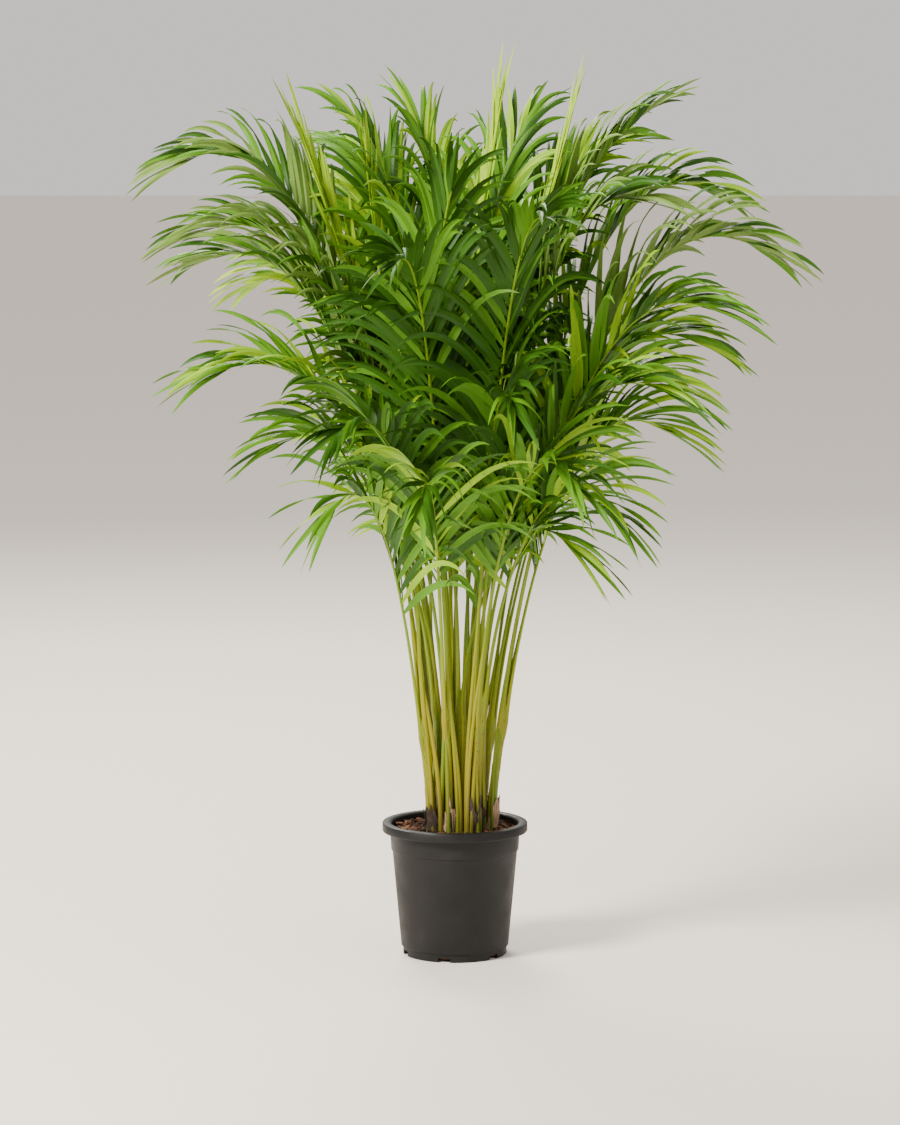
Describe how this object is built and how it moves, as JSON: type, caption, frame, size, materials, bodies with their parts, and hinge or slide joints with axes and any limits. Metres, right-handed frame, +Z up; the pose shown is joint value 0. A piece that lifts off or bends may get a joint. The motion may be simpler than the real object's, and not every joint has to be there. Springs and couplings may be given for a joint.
{
  "type": "potted areca palm",
  "caption": "Clumping areca palm with slender leaning canes and arching feathered fronds, growing in a round black nursery pot filled with coir soil.",
  "frame": {"origin": "centre of the pot's flat underside", "axes": "+Z up along the pot's axis, +X to the right and -Y towards the viewer in the picture"},
  "size_m": [0.777, 0.7129, 1.014],
  "materials": {
    "pot_plastic": "matt",
    "soil": "rough coir",
    "cane": "satin",
    "frond": "satin"
  },
  "bodies": {
    "root": {"pot": "pot_plastic", "soil": "soil", "cane_01": "cane", "cane_02": "cane", "cane_03": "cane", "cane_04": "cane", "cane_05": "cane", "cane_06": "cane", "cane_07": "cane", "cane_08": "cane", "cane_09": "cane", "cane_10": "cane", "cane_11": "cane", "cane_12": "cane", "cane_13": "cane", "cane_14": "cane", "frond_01": "frond", "frond_02": "frond", "frond_03": "frond", "frond_04": "frond", "frond_05": "frond", "frond_06": "frond", "frond_07": "frond", "frond_08": "frond", "frond_09": "frond", "frond_10": "frond", "frond_11": "frond", "frond_12": "frond", "frond_13": "frond", "frond_14": "frond", "frond_15": "frond", "frond_16": "frond", "frond_17": "frond", "frond_18": "frond", "frond_19": "frond", "frond_20": "frond", "frond_21": "frond", "frond_22": "frond", "frond_23": "frond", "frond_24": "frond", "frond_25": "frond", "frond_26": "frond", "frond_27": "frond", "frond_28": "frond", "frond_29": "frond", "frond_30": "frond", "frond_31": "frond", "frond_32": "frond", "frond_33": "frond", "frond_34": "frond", "frond_35": "frond", "frond_36": "frond", "frond_37": "frond", "frond_38": "frond", "frond_39": "frond", "frond_40": "frond", "frond_41": "frond", "frond_42": "frond"}
  },
  "joints": []
}
